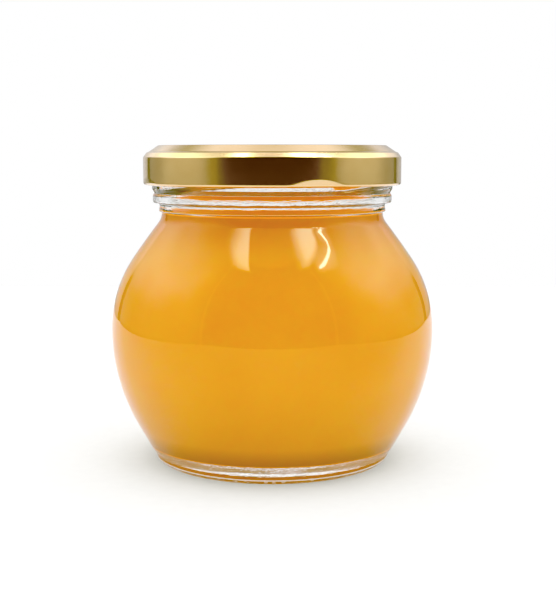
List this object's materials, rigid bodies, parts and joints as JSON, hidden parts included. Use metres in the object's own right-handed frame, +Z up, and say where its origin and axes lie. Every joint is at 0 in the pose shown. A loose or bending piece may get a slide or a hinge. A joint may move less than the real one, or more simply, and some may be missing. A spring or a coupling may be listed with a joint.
{
  "type": "jar of ghee",
  "caption": "Round-bellied clear glass jar filled with golden ghee and closed by a gold twist-off metal lid.",
  "frame": {"origin": "centre of the ring that the jar stands on, at table height", "axes": "+Z up along the jar's axis; the side seen in the picture faces -Y"},
  "size_m": [0.0918, 0.0918, 0.0897],
  "materials": {
    "glass": "clear, glossy moulded soda-lime glass",
    "ghee": "set golden ghee, smooth and slightly translucent",
    "lid": "satin gold lacquer on tinplate"
  },
  "bodies": {
    "root": {"glass_jar": "glass", "ghee": "ghee", "lid": "lid"}
  },
  "joints": []
}
